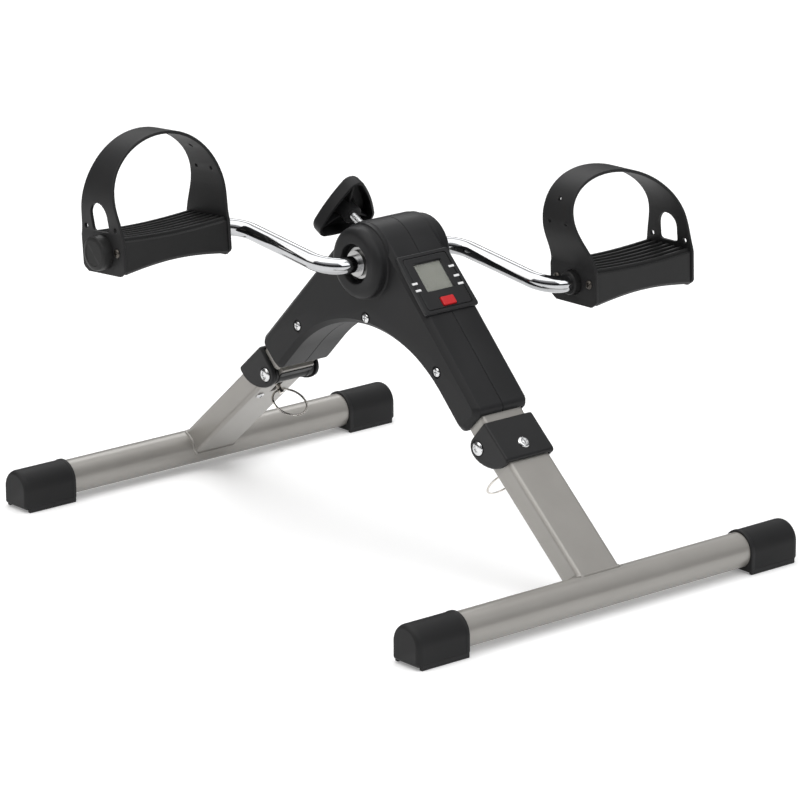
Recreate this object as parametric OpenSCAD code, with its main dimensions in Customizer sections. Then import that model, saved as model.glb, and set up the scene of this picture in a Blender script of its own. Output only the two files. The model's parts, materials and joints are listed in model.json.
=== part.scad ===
// Folding pedal exerciser: an inverted-V body with a bent crank and two strapped
// pedals, standing on two legs that fold in about hinge bolts.
// +X runs along the crank axis, -Y faces the user, +Z is up. The origin is on the
// floor, midway between the two feet.

/* [Body] */
// Height of the crank axis above the floor
crank_z = 219; // [214:0.5:222]
// Slope of the body's two arms below the horizontal, in degrees
arm_angle = 45.5; // [45:0.25:46]
// Radius of the body's round top about the crank axis
body_r = 30; // [29:0.5:31]
// Half the body's width along X
body_half_w = 26; // [25.5:0.5:28]
// Length of each arm from the crank axis to its open end
arm_len = 155; // [150:1:156]
// Height of the arch's crown above the floor
arch_crown_z = 168.5; // [164:0.5:170]

/* [Legs] */
// Slope of the legs below the horizontal, in degrees
leg_angle = 41; // [40:0.5:42]
// Distance of each hinge bolt from the crank axis, along Y
pin_y = 126; // [125:0.5:127]
// Height of the hinge bolts
pin_z = 102; // [101:0.5:103]
// Distance of each foot tube from the crank axis, along Y
foot_y = 235.4; // [233:0.2:237]
// Height of the foot tubes' axis
foot_z = 16.3; // [16:0.1:17]
// Radius of the foot tubes
foot_r = 13.4; // [12.7:0.1:14]
// Length of a foot over its caps
foot_len = 370; // [350:5:400]

/* [Crank and pedals] */
// Distance from the crank axis to each pedal axis
crank_r = 94; // [85:1:100]
// Angle of the crank below the horizontal at the near pedal, in degrees
crank_angle = 12; // [0:1:20]
// Radius of the crank rod
rod_r = 6.5; // [6:0.5:7]
// Distance of a pedal's inner face from the middle
pedal_x = 100; // [98:1:102]
// Length of a pedal between the outer faces of its strap ends
pedal_len = 100; // [98:1:104]
// Tilt of the left pedal about its axle, in degrees
tilt_left = -4.5; // [-10:0.5:10]
// Tilt of the right pedal about its axle, in degrees
tilt_right = -1.5; // [-10:0.5:10]
// Height of the strap's top above the pedal axle
strap_h = 84; // [80:1:90]

/* [Tension knob] */
// Slope of the knob's axis above the horizontal, in degrees
knob_angle = 26; // [24:1:28]
// Distance from the crank axis to the knob's underside
knob_base = 54; // [52:1:58]

/* [Hidden] */
$fn = 64;
e = 0.01;

// Frame and legs
tube_w = 40;
tube_h = 20;
tube_wall = 1.5;
tube_sink = 3;
wall = 2.5;
arm_in = 0.5;
arch_d = (crank_z - arch_crown_z + arm_in) / (1 - cos(arm_angle));
arch_r = arch_d - (crank_z - arch_crown_z);
pin_t = pin_y * cos(arm_angle) + (crank_z - pin_z) * sin(arm_angle);
pin_n = pin_y * sin(arm_angle) - (crank_z - pin_z) * cos(arm_angle);
arm_tube_end = pin_t - 9.5;
arm_tube_start = 16;
foot_u = (foot_y - pin_y) * cos(leg_angle) + (pin_z - foot_z) * sin(leg_angle);
foot_v = (foot_y - pin_y) * sin(leg_angle) - (pin_z - foot_z) * cos(leg_angle);
leg_start = 12;

// Hinge
bolt_r = 4;
run = 0.05;
knuckle_r = 7.5;
knuckle_half = 15.6;
ear_r = 8;
ear_t = 2.5;
cover_in = tube_w / 2 + 0.2;
cover_t = 3;
cover_top = 20.6;
latch_v = 2.5;
latch_r = 3;
latch_tip = knuckle_r + 0.5;
stem_u = 21;
eye_v = -7;
ring_r = 14;
wire_r = 1;
ring_lean = [1, -17];

// Crank, bearings and brake
shell_r = 20;
shell_in = 16.5;
shell_half = 22;
bearing_in = 13;
drum_r = 12;
drum_half = 12;
boss_r = 27.5;
boss_x = 37;
recess_r = 15;
bend_r = 22;
bend1_x = 60;
bend2_x = 76;
bend_a = atan2(crank_r, bend2_x - bend1_x);
bend_t = bend_r * tan(bend_a / 2);
rod_end = pedal_x + pedal_len + 4;
screw_r = 1.8;
stud_r = 3;

// Pedals
strap_t = 2.5;
strap_half = 26;
pedal_half = 24.5;
pedal_low = -16.5;
pedal_top = 10.5;
bush_r = 9;

// Console
con_n = body_r;
con_top = con_n + 2;
con_t0 = 17.5;
con_t1 = 69;

// Places: a side of 1 is the rear or the right, -1 is the front or the left
module side_y(s) { if (s > 0) children(); else mirror([0, 1, 0]) children(); }
module side_x(s) { if (s > 0) children(); else mirror([1, 0, 0]) children(); }
module at_arm(s) { side_y(s) translate([0, 0, crank_z]) rotate([-arm_angle, 0, 0]) children(); }
module at_leg(s) { side_y(s) translate([0, pin_y, pin_z]) rotate([-leg_angle, 0, 0]) children(); }
module at_knob() { translate([0, 0, crank_z]) rotate([knob_angle - 90, 0, 0]) children(); }
module at_crank() { translate([0, 0, crank_z]) rotate([180 + crank_angle, 0, 0]) children(); }
module at_pedal(s)
    side_x(s)
        translate([0, -s * crank_r * cos(crank_angle), crank_z - s * crank_r * sin(crank_angle)])
            rotate([s > 0 ? tilt_right : tilt_left, 0, 0]) children();

// Shapes drawn in the Y-Z plane or the X-Z plane and given a depth
module slab_x(x0, x1) { translate([x0, 0, 0]) rotate([90, 0, 90]) linear_extrude(x1 - x0) children(); }
module slab_y(y0, y1) { translate([0, y1, 0]) rotate([90, 0, 0]) linear_extrude(y1 - y0) children(); }
module rod_x(r, x0, x1) { translate([x0, 0, 0]) rotate([0, 90, 0]) cylinder(r = r, h = x1 - x0); }
module box(x0, x1, y0, y1, z0, z1) { translate([x0, y0, z0]) cube([x1 - x0, y1 - y0, z1 - z0]); }
function arc(cx, cy, r, a0, a1, n) =
    [for (i = [0:n]) let (a = a0 + (a1 - a0) * i / n) [cx + r * cos(a), cy + r * sin(a)]];

// Outline of the body, drawn in by the amount d all round
module body_outline(d) {
    r = 6 - d / 2;
    far = arm_len - d;
    low = arm_in + d;
    high = body_r - d;
    difference() {
        union() {
            translate([0, crank_z]) circle(r = body_r - d, $fn = 96);
            for (s = [-1, 1]) scale([s, 1]) translate([0, crank_z]) rotate(-arm_angle)
                polygon(concat([[0, high]], arc(far - r, high - r, r, 90, 0, 4),
                    arc(far - r, low + r, r, 0, -90, 4), [[110, low], [40, -60], [0, -60]]));
        }
        translate([0, crank_z - arch_d]) circle(r = arch_r + d, $fn = 128);
    }
}

// Screw places in a housing half: one in each arm and one over the arch
screw_t = 106;
screw_n = 11;
apex_screw_z = 175;
module housing_screw_places() {
    for (s = [-1, 1]) at_arm(s) translate([0, screw_t, screw_n]) children();
    translate([0, 0, apex_screw_z]) children();
}

// One half of the plastic housing, with its round hub boss
module housing(s) color([0.1, 0.1, 0.1]) side_x(s) difference() {
    union() {
        difference() {
            slab_x(0, body_half_w) body_outline(0);
            slab_x(-e, body_half_w - wall) body_outline(wall);
        }
        translate([0, 0, crank_z]) rod_x(boss_r, body_half_w - wall, boss_x);
        translate([0, 0, apex_screw_z]) rod_x(4.5, 2, body_half_w - e);
    }
    translate([0, 0, crank_z]) rod_x(recess_r, 30, boss_x + 1);
    translate([0, 0, crank_z]) rod_x(shell_r + 0.2, 0, shell_half + 0.2);
    translate([0, 0, crank_z]) rod_x(rod_r + 1.5, 0, boss_x);
    for (side = [-1, 1]) at_arm(side)
        box(-e, tube_w / 2 + 0.2, 100, arm_len + 1, pin_n - tube_sink - 0.2, pin_n - tube_sink + tube_h + 0.2);
    at_arm(-1) box(-e, 20, 21, 66, con_n - wall - 1, con_n + 1);
    at_knob() cylinder(r = 5, h = 40);
    housing_screw_places() rod_x(screw_r, 1, body_half_w + 1);
    housing_screw_places() rod_x(4, body_half_w - 1, body_half_w + 1);
}

module housing_screws(s) color("silver") side_x(s) housing_screw_places() union() {
    rod_x(screw_r, 17, body_half_w - 1);
    difference() {
        rod_x(3.6, body_half_w - 1, body_half_w + 0.8);
        translate([body_half_w, 0, 0]) cube([2, 0.9, 4.6], center = true);
        translate([body_half_w, 0, 0]) cube([2, 4.6, 0.9], center = true);
    }
}

// Rectangular steel tube inside an arm, with the welded hinge knuckle at its end
module frame_tube(s) color([0.62, 0.61, 0.59]) at_arm(s) difference() {
    union() {
        difference() {
            box(-tube_w / 2, tube_w / 2, arm_tube_start, arm_tube_end,
                pin_n - tube_sink, pin_n - tube_sink + tube_h);
            box(-tube_w / 2 + tube_wall, tube_w / 2 - tube_wall, arm_tube_start - 1, arm_tube_end - 2,
                pin_n - tube_sink + tube_wall, pin_n - tube_sink + tube_h - tube_wall);
        }
        box(-knuckle_half, knuckle_half, arm_tube_end - 2, pin_t, pin_n - 6, pin_n + 6);
        translate([0, pin_t, pin_n]) rod_x(knuckle_r, -knuckle_half, knuckle_half);
    }
    translate([0, pin_t, pin_n]) rod_x(bolt_r + run, -knuckle_half - 1, knuckle_half + 1);
    translate([0, pin_t, pin_n]) rotate([arm_angle - leg_angle, 0, 0]) translate([0, 0, latch_v])
        rotate([-90, 0, 0]) cylinder(r = latch_r + 0.3, h = knuckle_r + 1);
    rod_x(shell_r, -25, 25);
    translate([0, screw_t, screw_n]) rod_x(screw_r, -25, 25);
}

// Steel tube that carries the crank bearings
module bearing_shell() color([0.62, 0.61, 0.59]) difference() {
    translate([0, 0, crank_z]) rod_x(shell_r, -shell_half, shell_half);
    translate([0, 0, crank_z]) rod_x(shell_in, -shell_half - 1, shell_half + 1);
    at_knob() cylinder(r = 5, h = 30);
}

module bearing(s) color("silver") side_x(s) translate([0, 0, crank_z]) difference() {
    rod_x(shell_in, bearing_in, shell_half);
    rod_x(rod_r + run, bearing_in - 1, shell_half + 1);
}

// Threaded hexagon nut welded over the shell's window
module tension_nut() color("silver") at_knob() difference() {
    cylinder(r = 6, h = 27, $fn = 6);
    cylinder(r = stud_r + run, h = 28);
    rod_x(shell_r, -30, 30);
}

// Console on the front arm
module console_case() color([0.08, 0.08, 0.08]) at_arm(-1) difference() {
    union() {
        console_plate();
        box(-19.7, 19.7, 21.3, 65.7, con_n - 4.6, con_n + e);
    }
    box(-18.2, 18.2, 22.8, 64.2, con_n - 5, con_n + 0.4);
    box(-13.5, 13.5, 25.5, 50.5, con_n - 1, con_top + 1);
    box(-6.6, 6.6, 56.7, 64.8, con_n - 3, con_top + 1);
}
module console_plate()
    translate([0, 0, con_n]) linear_extrude(con_top - con_n)
        polygon([[-24.6, con_t0], [24.6, con_t0], [25.8, con_t1], [-25.8, con_t1]]);

module console_window() color([0.8, 0.85, 0.8, 0.4]) at_arm(-1)
    box(-15, 15, 24, 52, con_n - 0.4, con_n + 0.4);
module console_display() color([0.36, 0.37, 0.3]) at_arm(-1)
    box(-14.5, 14.5, 24.5, 51.5, con_n - 1.8, con_n - 0.4);
module console_board() color("darkgreen") at_arm(-1)
    box(-18, 18, 23, 54.5, con_n - 3.4, con_n - 1.8);
module console_battery() color("silver") at_arm(-1)
    translate([11.8, 59.2, con_n - 4.4]) cylinder(r = 4.6, h = 3.6);
module console_marks() color("white") at_arm(-1) {
    for (t = [41, 47]) box(-23.5, -18.5, t, t + 1.8, con_top, con_top + 0.15);
    for (t = [33, 41.5, 48.5]) box(16.5, 21.5, t, t + 1.8, con_top, con_top + 0.15);
}
module reset_button() color([0.8, 0.08, 0.1]) at_arm(-1)
    box(-6.3, 6.3, 57, 64.5, con_n - 1.5, con_top + 1.4);

// Reed sensor on the housing and the magnet that passes it
sensor_x = 8.4;
magnet_r = 15;
magnet_t = 6;
module speed_sensor() color([0.15, 0.15, 0.15]) translate([0, 0, crank_z - shell_r])
    box(sensor_x - 6, sensor_x + 6, -4, 4, -10.6, -0.2);
module crank_magnet() color("dimgray") at_crank() difference() {
    rod_x(magnet_r, sensor_x - magnet_t / 2, sensor_x + magnet_t / 2);
    box(0, drum_half + 1, -magnet_r - 1, 11, -magnet_r - 1, magnet_r + 1);
    rod_x(drum_r, -drum_half, drum_half);
}

// One-piece crank: a chrome rod with two bends on each side. Each bend is a hair
// thinner than the rod and runs one degree into the straight stretches at its ends
module rod_bend() rotate(-1) rotate_extrude(angle = bend_a + 2)
    translate([bend_r, 0]) circle(rod_r - 0.02, $fn = 40);
module crank_half() {
    straight = norm([bend2_x - bend1_x, crank_r]) - 2 * bend_t;
    translate([bend1_x - bend_t, bend_r, 0]) rotate(-90) rod_bend();
    translate([bend1_x, 0, 0]) rotate(bend_a) rod_x(rod_r, bend_t, bend_t + straight);
    translate([bend2_x + bend_t, crank_r - bend_r, 0]) rotate(90) rod_bend();
    translate([0, crank_r, 0]) rod_x(rod_r, bend2_x + bend_t, rod_end);
}
module crank_rod() color([0.8, 0.8, 0.82]) at_crank() {
    rod_x(rod_r, bend_t - bend1_x, bend1_x - bend_t);
    crank_half();
    rotate(180) crank_half();
}
module brake_drum() color("dimgray") translate([0, 0, crank_z]) difference() {
    rod_x(drum_r, -drum_half, drum_half);
    rod_x(rod_r, -drum_half - 1, drum_half + 1);
}
module hub_washers() color("silver") for (s = [-1, 1]) side_x(s) translate([0, 0, crank_z]) {
    difference() {
        rod_x(12, 30.2, 31.8);
        rod_x(rod_r, 30, 40);
    }
    difference() {
        rod_x(10, 31.8, 35);
        rod_x(rod_r, 30, 40);
    }
}
module pedal_retainers() color("silver") at_crank() for (a = [0, 180]) rotate(a)
    translate([0, crank_r, 0]) difference() {
        rod_x(9.5, rod_end - 3, rod_end - 1);
        rod_x(rod_r, rod_end - 4, rod_end);
    }

// Brake shoe, and the screw and knob that press it on the drum
module brake_shoe() color([0.45, 0.3, 0.18]) at_knob() difference() {
    cylinder(r = 4.6, h = 17.5);
    rotate([0, 90, 0]) cylinder(r = drum_r + 0.3, h = 40, center = true);
}
module tension_bolt() color("silver") at_knob()
    translate([0, 0, 17.55]) cylinder(r = stud_r, h = knob_base + 8 - 17.55);

knob_round = 9;
knob_side = 65;
knob_spin = -4;
module knob_outline(d)
    rotate(knob_spin) polygon([for (k = [0:2], p = arc(0, 0, knob_round - d, -60, 60, 6))
        let (a = 120 * k - 90, c = knob_side / sqrt(3) - 2 * knob_round)
        [(c + p[0]) * cos(a) - p[1] * sin(a), (c + p[0]) * sin(a) + p[1] * cos(a)]]);
module tension_knob() color([0.12, 0.12, 0.12]) at_knob() difference() {
    union() {
        difference() {
            translate([0, 0, knob_base]) linear_extrude(12) knob_outline(0);
            translate([0, 0, knob_base - 1]) linear_extrude(10) knob_outline(2.5);
        }
        translate([0, 0, knob_base - 4]) cylinder(r = 7.5, h = 15);
    }
    cylinder(r = stud_r, h = knob_base + 8);
}

// Pedal: ribbed body on the crank's end, with a moulded strap over it
module pedal_body(s) color([0.1, 0.1, 0.1]) at_pedal(s) translate([pedal_x, 0, 0]) difference() {
    union() {
        box(strap_t, pedal_len - strap_t, -pedal_half, pedal_half, pedal_low + 1, pedal_top);
        for (i = [-3:3]) box(strap_t + 3, pedal_len - strap_t - 3, i * 7 - 1.5, i * 7 + 1.5, pedal_top - e, pedal_top + 2.5);
    }
    rod_x(rod_r + 0.3, 0, pedal_len);
    rod_x(bush_r, -1, 14);
    rod_x(bush_r, pedal_len - 14, pedal_len + 1);
    for (k = [-1, 1]) box(8, pedal_len - 8, k * 17 - 5.5, k * 17 + 5.5, pedal_low, pedal_top - 3);
    box(16, pedal_len - 16, -pedal_half - 1, pedal_half + 1, pedal_low, pedal_low + 4.5);
    strap_screw_places() rod_x(screw_r, -1, 8);
}

// Band outline in the X-Z plane: upright ends, a slight bulge and a round top. The right
// band leans towards the hub. Each form is [bulge, height of the bulge, lean]
bulge_from = 13.3;
strap_form = [[2, 36, 0], [4.5, 42, 26]];
function strap_foot(d, form) = [for (i = [0:6]) let (f = i / 6, g = f * f * (3 - 2 * f))
    [d - form[0] * g, bulge_from + (form[1] - bulge_from) * f]];
function strap_top(d, form) = [for (i = [1:24]) let (a = 180 - 7.5 * i)
    [pedal_len / 2 + (pedal_len / 2 + form[0] - d) * cos(a), form[1] + (strap_h - form[1] - d) * sin(a)]];
function flip(p) = [for (i = [len(p) - 1:-1:0]) [pedal_len - p[i][0], p[i][1]]];
function lean(p, k) = [for (q = p)
    [q[0] - k * pow(max(0, q[1] - bulge_from) / (strap_h - bulge_from), 1.3), q[1]]];
function strap_side(d, form) = lean(concat([[d, pedal_low]], strap_foot(d, form), strap_top(d, form),
    [for (i = [1:6]) flip(strap_foot(d, form))[i]], [[pedal_len - d, pedal_low]]), form[2]);
module strap_width() polygon([[-20, pedal_low], [20, pedal_low], [strap_half, -10], [strap_half, 8],
    [20, 38], [15.5, 62], [14, 95], [-14, 95], [-15.5, 62], [-20, 38], [-strap_half, 8], [-strap_half, -10]]);

// Strap screw places at the inner and the outer end, each facing into the pedal
module strap_screw_places() for (k = [-1, 1]) {
    translate([strap_t, k * 18, 1]) children();
    translate([pedal_len - strap_t, k * 18, 1]) mirror([1, 0, 0]) children();
}
module pedal_strap(s) color([0.12, 0.12, 0.12]) at_pedal(s) translate([pedal_x, 0, 0]) difference() {
    intersection() {
        slab_y(-strap_half, strap_half) polygon(strap_outline(strap_form[(s + 1) / 2]));
        slab_x(-20, pedal_len + 20) strap_width();
    }
    rod_x(bush_r + 0.5, -1, 5);
    rod_x(rod_r + 1, pedal_len - 5, pedal_len + 1);
    strap_screw_places() rod_x(screw_r, -4, 1);
    for (k = [-1, 1]) translate([pedal_len, k * 18, 18]) rod_x(2.2, -6, 10);
    translate([pedal_len - 16, 0, 0]) slab_x(0, 37) union() {
        translate([0, 27]) circle(r = 10);
        translate([-10, 15]) square([20, 12]);
    }
}
function flip_back(p) = [for (i = [len(p) - 1:-1:0]) p[i]];
function strap_outline(form) = concat(strap_side(0, form), flip_back(strap_side(strap_t, form)));

module strap_screws(s) color("dimgray") at_pedal(s) translate([pedal_x, 0, 0]) strap_screw_places() union() {
    rod_x(3.4, -strap_t - 1.6, -strap_t);
    rod_x(screw_r, -strap_t, 8);
}
module pedal_cap(s) color([0.1, 0.1, 0.1]) at_pedal(s) translate([pedal_x + pedal_len, 0, 0]) difference() {
    rod_x(13.2, 0, 9);
    rod_x(11.2, -1, 7.5);
}
module pedal_bushes(s) color([0.14, 0.14, 0.14]) at_pedal(s) {
    difference() {
        rod_x(bush_r, bend2_x + bend_t + 0.6, pedal_x + 14);
        rod_x(rod_r + run, bend2_x, pedal_x + 20);
    }
    difference() {
        rod_x(bush_r, pedal_x + pedal_len - 14, pedal_x + pedal_len - strap_t);
        rod_x(rod_r + run, pedal_x + pedal_len - 20, pedal_x + pedal_len + 2);
    }
}

// Leg: rectangular tube, saddle-cut onto its foot tube
module leg_tube(s) color([0.62, 0.61, 0.59]) at_leg(s) difference() {
    box(-tube_w / 2, tube_w / 2, leg_start, foot_u, -tube_sink, tube_h - tube_sink);
    box(-tube_w / 2 + tube_wall, tube_w / 2 - tube_wall, leg_start - 1, foot_u + 1,
        -tube_sink + tube_wall, tube_h - tube_sink - tube_wall);
    translate([0, foot_u, foot_v]) rod_x(foot_r, -30, 30);
    box(-2.4, 2.4, stem_u - 5.2, stem_u + 9.5, -tube_sink - 1, 0);
    for (x = [-11, 11]) translate([x, 33, -tube_sink - 1]) cylinder(r = screw_r, h = 5);
    translate([0, 14.5, 10]) cylinder(r = 2, h = 12);
}
module foot_tube(s) color([0.62, 0.61, 0.59]) side_y(s) translate([0, foot_y, foot_z]) difference() {
    rod_x(foot_r, -foot_len / 2 + 2.5, foot_len / 2 - 2.5);
    rod_x(foot_r - tube_wall, -foot_len / 2, foot_len / 2);
}

// End cap: round over the tube, with straight sides down to two runners
cap_len = 48;
cap_half = 15.3;
cap_low = 1.2;
module foot_cap(s, k) color([0.12, 0.12, 0.12]) side_x(k) side_y(s) translate([0, foot_y, 0]) difference() {
    union() {
        slab_x(foot_len / 2 - cap_len, foot_len / 2) union() {
            translate([0, foot_z]) circle(r = cap_half);
            translate([-cap_half, cap_low]) square([2 * cap_half, foot_z - cap_low]);
        }
        for (y = [-cap_half, cap_half - 3])
            box(foot_len / 2 - cap_len, foot_len / 2 - 3, y, y + 3, 0, cap_low + e);
    }
    translate([0, 0, foot_z]) rod_x(foot_r, foot_len / 2 - cap_len - 1, foot_len / 2 - 2.5);
}

// Hinge: steel bracket in the leg, its bolt, and the plastic cover over both
module hinge_bracket(s) color([0.4, 0.4, 0.4]) at_leg(s) difference() {
    union() {
        for (k = [-1, 1]) side_x(k) {
            rod_x(ear_r, knuckle_half + 0.3, knuckle_half + 0.3 + ear_t);
            box(knuckle_half + 0.3, knuckle_half + 0.3 + ear_t, 0, 38, -1.4, 15.4);
        }
        box(-knuckle_half - 0.4, knuckle_half + 0.4, leg_start + 1, 38, 13, 15.4);
    }
    rod_x(bolt_r, -30, 30);
    translate([0, 14.5, 8]) cylinder(r = 2, h = 12);
}
module cover_outline() {
    circle(r = 9.4);
    polygon([[-9.4, 0], [-9.2, cover_top], [25, cover_top], [26.3, 19], [26.3, 13], [24.6, 7.5],
        [21, 2], [15, -3.6], [7.5, -8], [0, -9.4]]);
}
module hinge_cover(s) color([0.1, 0.1, 0.1]) at_leg(s) difference() {
    union() {
        for (k = [-1, 1]) side_x(k) slab_x(cover_in, cover_in + cover_t) cover_outline();
        box(-cover_in - e, cover_in + e, -9.2, 25.6, cover_top - 2.5, cover_top);
    }
    rod_x(bolt_r, -30, 30);
    for (k = [-1, 1]) side_x(k) rod_x(6.4, cover_in + cover_t - 0.8, 30);
    translate([0, 14.5, cover_top - 5]) cylinder(r = 2, h = 8);
}
module hinge_bolt(s) color("silver") at_leg(s) union() {
    rod_x(bolt_r, -cover_in - cover_t, cover_in + cover_t);
    for (k = [-1, 1]) side_x(k) rod_x(5.6, cover_in + cover_t - 0.8, cover_in + cover_t + 1.8);
}
module cover_screw(s) color("silver") at_leg(s) translate([0, 14.5, 0]) union() {
    translate([0, 0, 10]) cylinder(r = 2, h = cover_top - 10);
    translate([0, 0, cover_top]) difference() {
        cylinder(r = 4.6, h = 1.6);
        translate([0, 0, 0.9]) cylinder(r = 2.6, h = 2);
    }
}

// Latch: a bolt that slides along the leg into the knuckle, drawn back by its ring
module latch_guide(s) color([0.4, 0.4, 0.4]) at_leg(s) difference() {
    box(-15, 15, 31, 37.5, -tube_sink + tube_wall, 7.5);
    translate([0, 0, latch_v]) rotate([-90, 0, 0]) cylinder(r = latch_r + run, h = 60);
    for (x = [-11, 11]) translate([x, 33, -5]) cylinder(r = screw_r, h = 9);
}
module latch_screws(s) color("silver") at_leg(s) for (x = [-11, 11]) translate([x, 33, 0]) {
    translate([0, 0, -tube_sink - 1.8]) cylinder(r = 3.4, h = 1.8);
    translate([0, 0, -tube_sink]) cylinder(r = screw_r, h = tube_sink + 4);
}
module latch_pin(s) color("silver") at_leg(s) difference() {
    union() {
        translate([0, latch_tip, latch_v]) rotate([-90, 0, 0]) cylinder(r = latch_r, h = 36 - latch_tip);
        translate([0, stem_u, eye_v - 3]) cylinder(r = 2, h = latch_v - eye_v + 3);
    }
    translate([0, stem_u, eye_v]) rod_x(wire_r + 0.3, -5, 5);
}
module pull_ring(s) color("silver") at_leg(s) translate([0, stem_u, eye_v]) rotate([ring_lean[(s + 1) / 2], 0, 0])
    translate([0, 0, -ring_r]) rotate([90, 0, 0])
        rotate_extrude() translate([ring_r, 0]) circle(wire_r, $fn = 24);

housing(-1);  // housing_left
housing(1);  // housing_right
frame_tube(-1);  // frame_tube_front
frame_tube(1);  // frame_tube_rear
bearing_shell();
bearing(-1);  // bearing_left
bearing(1);  // bearing_right
tension_nut();
housing_screws(-1);  // housing_screws_left
housing_screws(1);  // housing_screws_right
console_case();
console_window();
console_display();
console_board();
console_battery();
console_marks();
speed_sensor();
reset_button();
crank_rod();
brake_drum();
crank_magnet();
hub_washers();
pedal_retainers();
brake_shoe();
tension_knob();
tension_bolt();
pedal_body(-1);  // pedal_body_left
pedal_strap(-1);  // pedal_strap_left
strap_screws(-1);  // strap_screws_left
pedal_cap(-1);  // pedal_cap_left
pedal_bushes(-1);  // pedal_bushes_left
pedal_body(1);  // pedal_body_right
pedal_strap(1);  // pedal_strap_right
strap_screws(1);  // strap_screws_right
pedal_cap(1);  // pedal_cap_right
pedal_bushes(1);  // pedal_bushes_right
leg_tube(-1);  // leg_tube_front
foot_tube(-1);  // foot_tube_front
foot_cap(-1, -1);  // foot_cap_front_left
foot_cap(-1, 1);  // foot_cap_front_right
hinge_cover(-1);  // hinge_cover_front
hinge_bracket(-1);  // hinge_bracket_front
hinge_bolt(-1);  // hinge_bolt_front
cover_screw(-1);  // cover_screw_front
latch_guide(-1);  // latch_guide_front
latch_screws(-1);  // latch_screws_front
latch_pin(-1);  // latch_pin_front
pull_ring(-1);  // pull_ring_front
leg_tube(1);  // leg_tube_rear
foot_tube(1);  // foot_tube_rear
foot_cap(1, -1);  // foot_cap_rear_left
foot_cap(1, 1);  // foot_cap_rear_right
hinge_cover(1);  // hinge_cover_rear
hinge_bracket(1);  // hinge_bracket_rear
hinge_bolt(1);  // hinge_bolt_rear
cover_screw(1);  // cover_screw_rear
latch_guide(1);  // latch_guide_rear
latch_screws(1);  // latch_screws_rear
latch_pin(1);  // latch_pin_rear
pull_ring(1);  // pull_ring_rear
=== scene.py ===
"""A folding pedal exerciser: black plastic, silver-painted tube and a chrome crank,
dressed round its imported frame. Lengths are millimetres until a piece is made."""
import json
import math

import bmesh
import bpy
from mathutils import Matrix, Vector


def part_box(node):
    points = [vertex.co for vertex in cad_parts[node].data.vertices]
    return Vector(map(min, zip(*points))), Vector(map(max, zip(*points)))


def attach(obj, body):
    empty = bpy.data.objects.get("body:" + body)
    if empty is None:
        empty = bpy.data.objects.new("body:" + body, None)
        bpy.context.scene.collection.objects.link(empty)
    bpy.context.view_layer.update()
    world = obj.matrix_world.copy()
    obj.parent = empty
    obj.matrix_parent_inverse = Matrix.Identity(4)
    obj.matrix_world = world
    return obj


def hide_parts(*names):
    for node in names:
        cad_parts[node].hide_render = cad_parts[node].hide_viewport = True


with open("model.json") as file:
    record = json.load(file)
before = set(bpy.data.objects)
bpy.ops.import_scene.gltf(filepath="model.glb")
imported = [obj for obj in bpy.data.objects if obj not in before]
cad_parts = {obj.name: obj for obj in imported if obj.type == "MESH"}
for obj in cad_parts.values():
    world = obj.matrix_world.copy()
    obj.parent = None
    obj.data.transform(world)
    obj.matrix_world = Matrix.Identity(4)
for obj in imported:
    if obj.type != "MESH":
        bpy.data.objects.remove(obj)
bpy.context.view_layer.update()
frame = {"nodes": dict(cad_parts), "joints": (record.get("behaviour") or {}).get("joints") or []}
joints = {joint["name"]: joint for joint in frame["joints"]}
MM = 1000.0


# ----------------------------------------------------
# Setting: a long lens a little above the pedals, a pale floor that fades to
# white, four broad soft lights, and a dark band of sky for the chrome to mirror.
# ----------------------------------------------------
class Link:
    """A shader output that takes part in Python arithmetic, each operation as a Math node."""

    def __init__(self, paint, out):
        self.paint, self.out = paint, out

    def maths(self, operation, first, second=0.0):
        return self.paint.node("ShaderNodeMath", {"operation": operation}, {0: first, 1: second})

    def __add__(self, other):
        return self.maths("ADD", self, other)

    def __sub__(self, other):
        return self.maths("SUBTRACT", self, other)

    def __mul__(self, other):
        return self.maths("MULTIPLY", self, other)

    def __gt__(self, other):
        return self.maths("GREATER_THAN", self, other)

    __radd__ = __add__
    __rmul__ = __mul__


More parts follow.
